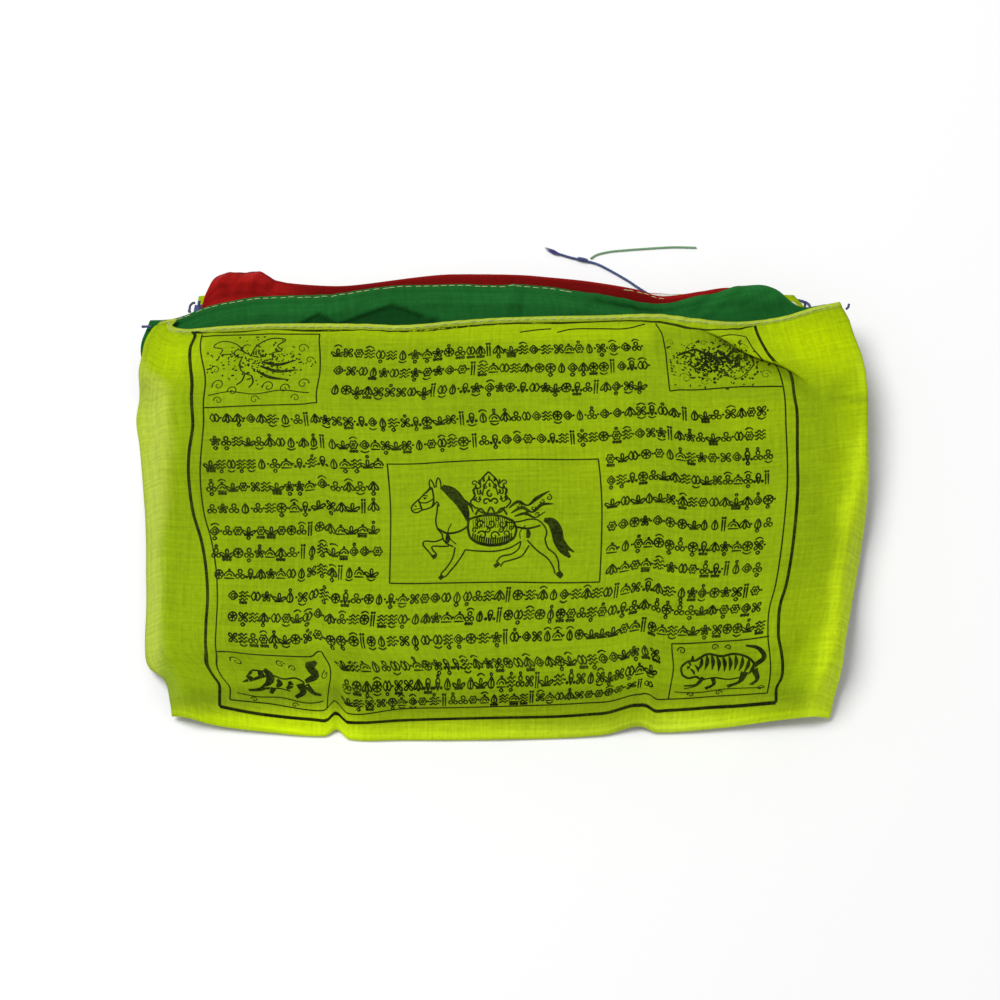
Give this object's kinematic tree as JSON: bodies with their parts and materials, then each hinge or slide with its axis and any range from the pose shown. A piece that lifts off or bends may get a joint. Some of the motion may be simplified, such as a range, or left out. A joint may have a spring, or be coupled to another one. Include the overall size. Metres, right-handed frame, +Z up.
{
  "type": "prayer flag string",
  "caption": "Printed prayer flags sewn by their headings to one string and folded flag upon flag into a low pile, with a short loose string end",
  "frame": {"origin": "middle of the pile's outline on the table, the loose string not counted", "axes": "+X to the right along the headings, +Y from the flags' lower edges to their headings, +Z up"},
  "size_m": [0.2628, 0.1948, 0.0214],
  "materials": {
    "cloth_yellow": "printed thin woven polyester",
    "cloth_green": "printed thin woven polyester",
    "cloth_red": "printed thin woven polyester",
    "cloth_white": "printed thin woven polyester",
    "cloth_blue": "printed thin woven polyester",
    "string": "twisted cord",
    "string_tip": "frayed cord",
    "thread": "sewing thread"
  },
  "bodies": {
    "root": {"flag_yellow_top": "cloth_yellow", "flag_green_upper": "cloth_green", "flag_red_upper": "cloth_red", "flag_white_upper": "cloth_white", "flag_blue_upper": "cloth_blue", "flag_yellow_lower": "cloth_yellow", "flag_green_lower": "cloth_green", "flag_red_lower": "cloth_red", "flag_white_lower": "cloth_white", "flag_blue_lower": "cloth_blue", "string_link_1": "string", "string_link_2": "string", "string_link_3": "string", "string_link_4": "string", "string_link_5": "string", "string_link_6": "string", "string_link_7": "string", "string_link_8": "string", "string_link_9": "string", "string_stub": "string", "string_tail": "string", "string_end": "string", "tail_tip": "string_tip", "tail_knot": "string", "thread_tail": "thread"}
  },
  "joints": []
}
